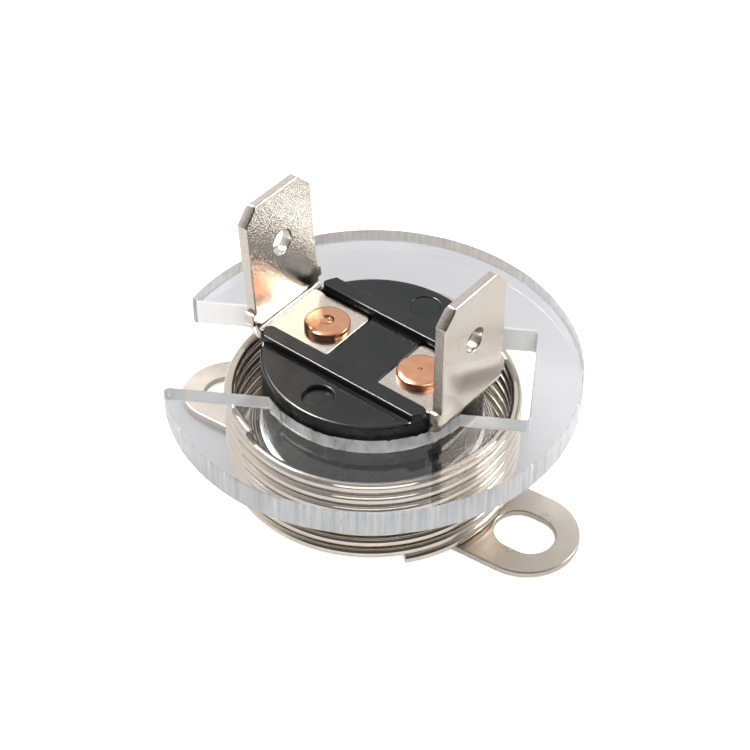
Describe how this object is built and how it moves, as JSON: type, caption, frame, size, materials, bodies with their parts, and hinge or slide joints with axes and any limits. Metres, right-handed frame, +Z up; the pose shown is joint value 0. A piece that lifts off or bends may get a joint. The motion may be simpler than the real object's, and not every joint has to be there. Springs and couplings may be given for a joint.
{
  "type": "bimetal thermostat",
  "caption": "Snap-disc temperature switch with blade terminals on a round black body, an eared mounting bracket and a clear retainer plate pressed up by a coil spring.",
  "frame": {"origin": "centre of the flat sensing face under the cap", "axes": "+Z up out of the sensing face towards the blade terminals, +X along the line of the bracket's two ear slots"},
  "size_m": [0.0312, 0.0276, 0.02],
  "materials": {
    "phenolic": "moulded, semi-matt",
    "aluminium_cap": "drawn, bright",
    "plated_steel": "nickel plated, bright",
    "clear_acrylic": "polished faces, sawn edges",
    "spring_wire": "nickel plated wire, bright",
    "plated_brass": "nickel plated, bright",
    "copper": "bright headed copper",
    "ceramic": "unglazed",
    "bimetal": "rolled",
    "leaf_alloy": "rolled",
    "silver": "bright"
  },
  "bodies": {
    "housing": {"body": "phenolic", "cap": "aluminium_cap", "bracket": "plated_steel", "terminal_left": "plated_brass", "terminal_right": "plated_brass", "rivet_left": "copper", "rivet_right": "copper", "guide_plate": "ceramic", "bimetal_disc": "bimetal", "arm_washer": "plated_brass", "contact_strip": "leaf_alloy", "fixed_contact": "silver"},
    "spring": {"coil_spring": "spring_wire"},
    "plate": {"retainer_plate": "clear_acrylic"},
    "pin": {"transfer_pin": "ceramic"},
    "arm": {"contact_arm": "leaf_alloy", "moving_contact": "silver"}
  },
  "joints": [
    {"name": "plate_turn", "type": "hinge", "parent": "housing", "child": "spring", "pos_m": [0, 0, 0.009], "axis": [0, 0, 1], "continuous": true},
    {"name": "plate_press", "type": "slide", "parent": "spring", "child": "plate", "axis": [0, 0, 1], "range_m": [-0.0006, 0], "stiffness_N_per_m": 2000, "springref_m": 0.002, "deforming": ["coil_spring"]},
    {"name": "pin_lift", "type": "slide", "parent": "housing", "child": "pin", "axis": [0, 0, 1], "range_m": [0, 0.00025], "deforming": ["bimetal_disc"]},
    {"name": "arm_flex", "type": "hinge", "parent": "housing", "child": "arm", "pos_m": [-0.00384, 0.00034, 0.00605], "axis": [-0.0872, -0.9962, 0], "range_deg": [0, 3.74]}
  ],
  "couplings": [
    {"joint": "arm_flex", "follows": "pin_lift", "rad_per_m": 259.74}
  ]
}
